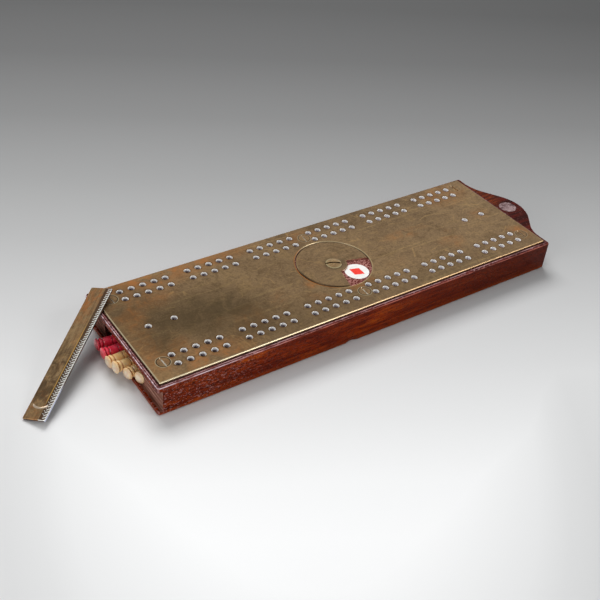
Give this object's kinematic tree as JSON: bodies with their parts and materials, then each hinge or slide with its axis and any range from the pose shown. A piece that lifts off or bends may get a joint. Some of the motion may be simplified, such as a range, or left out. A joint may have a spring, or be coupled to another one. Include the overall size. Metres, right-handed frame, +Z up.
{
  "type": "cribbage board box",
  "caption": "Wooden cribbage board box with a brass pegging plate, rotating trump disc, end peg compartment, loose sliding end cover and turned pegs.",
  "frame": {"origin": "on the block's underside, the surface it stands on, straight under the middle of the brass plate", "axes": "+X along the board from the peg compartment to the thumb tab, +Y across the board, +Z up out of the playing surface"},
  "size_m": [0.3493, 0.0875, 0.0251],
  "materials": {
    "mahogany": "waxed dark red-brown hardwood with open pores",
    "end_grain": "dull grey-mauve end grain",
    "aged_brass": "olive-brown patina, worn bright at the edges",
    "bone": "polished off-white",
    "red_inlay": "flat bright red",
    "black_inlay": "flat black",
    "red_peg": "glossy crimson",
    "bone_peg": "glossy cream"
  },
  "bodies": {
    "box": {"wood_block": "mahogany", "tab_plug": "end_grain", "brass_plate": "aged_brass", "plate_screws": "aged_brass", "disc_pivot_screw": "aged_brass", "roundel_diamonds": "bone", "suit_diamonds": "red_inlay", "roundel_hearts": "bone", "suit_hearts": "red_inlay", "roundel_spades": "bone", "suit_spades": "black_inlay", "roundel_clubs": "bone", "suit_clubs": "black_inlay"},
    "disc": {"trump_disc": "aged_brass"},
    "cover": {"end_cover": "aged_brass"},
    "peg_red_1": {"peg_red_1": "red_peg"},
    "peg_red_2": {"peg_red_2": "red_peg"},
    "peg_bone_1": {"peg_bone_1": "bone_peg"},
    "peg_bone_2": {"peg_bone_2": "bone_peg"},
    "peg_bone_3": {"peg_bone_3": "bone_peg"},
    "peg_bone_4": {"peg_bone_4": "bone_peg"}
  },
  "joints": [
    {"name": "disc_turn", "type": "hinge", "parent": "box", "child": "disc", "pos_m": [0.0017, 0.0008, 0.0201], "axis": [0, 0, 1], "continuous": true},
    {"name": "cover_lift", "type": "slide", "parent": "box", "child": "cover", "axis": [0, 0, 1], "range_m": [0, 0.06]},
    {"name": "peg_red_1_draw", "type": "slide", "parent": "box", "child": "peg_red_1", "axis": [-0.9994, 0.0349, 0], "range_m": [-0.0025, 0.06]},
    {"name": "peg_red_2_draw", "type": "slide", "parent": "box", "child": "peg_red_2", "axis": [-0.9986, -0.0523, 0], "range_m": [-0.0025, 0.022]},
    {"name": "peg_bone_1_draw", "type": "slide", "parent": "box", "child": "peg_bone_1", "axis": [-0.9945, -0.1045, 0], "range_m": [-0.002, 0.022]},
    {"name": "peg_bone_2_draw", "type": "slide", "parent": "box", "child": "peg_bone_2", "axis": [-0.9848, -0.1384, 0.1045], "range_m": [0, 0.024]},
    {"name": "peg_bone_3_draw", "type": "slide", "parent": "box", "child": "peg_bone_3", "axis": [-0.9611, -0.2756, 0.0175], "range_m": [0, 0.045]},
    {"name": "peg_bone_4_draw", "type": "slide", "parent": "box", "child": "peg_bone_4", "axis": [-0.9255, -0.3739, 0.061], "range_m": [0, 0.06]}
  ]
}
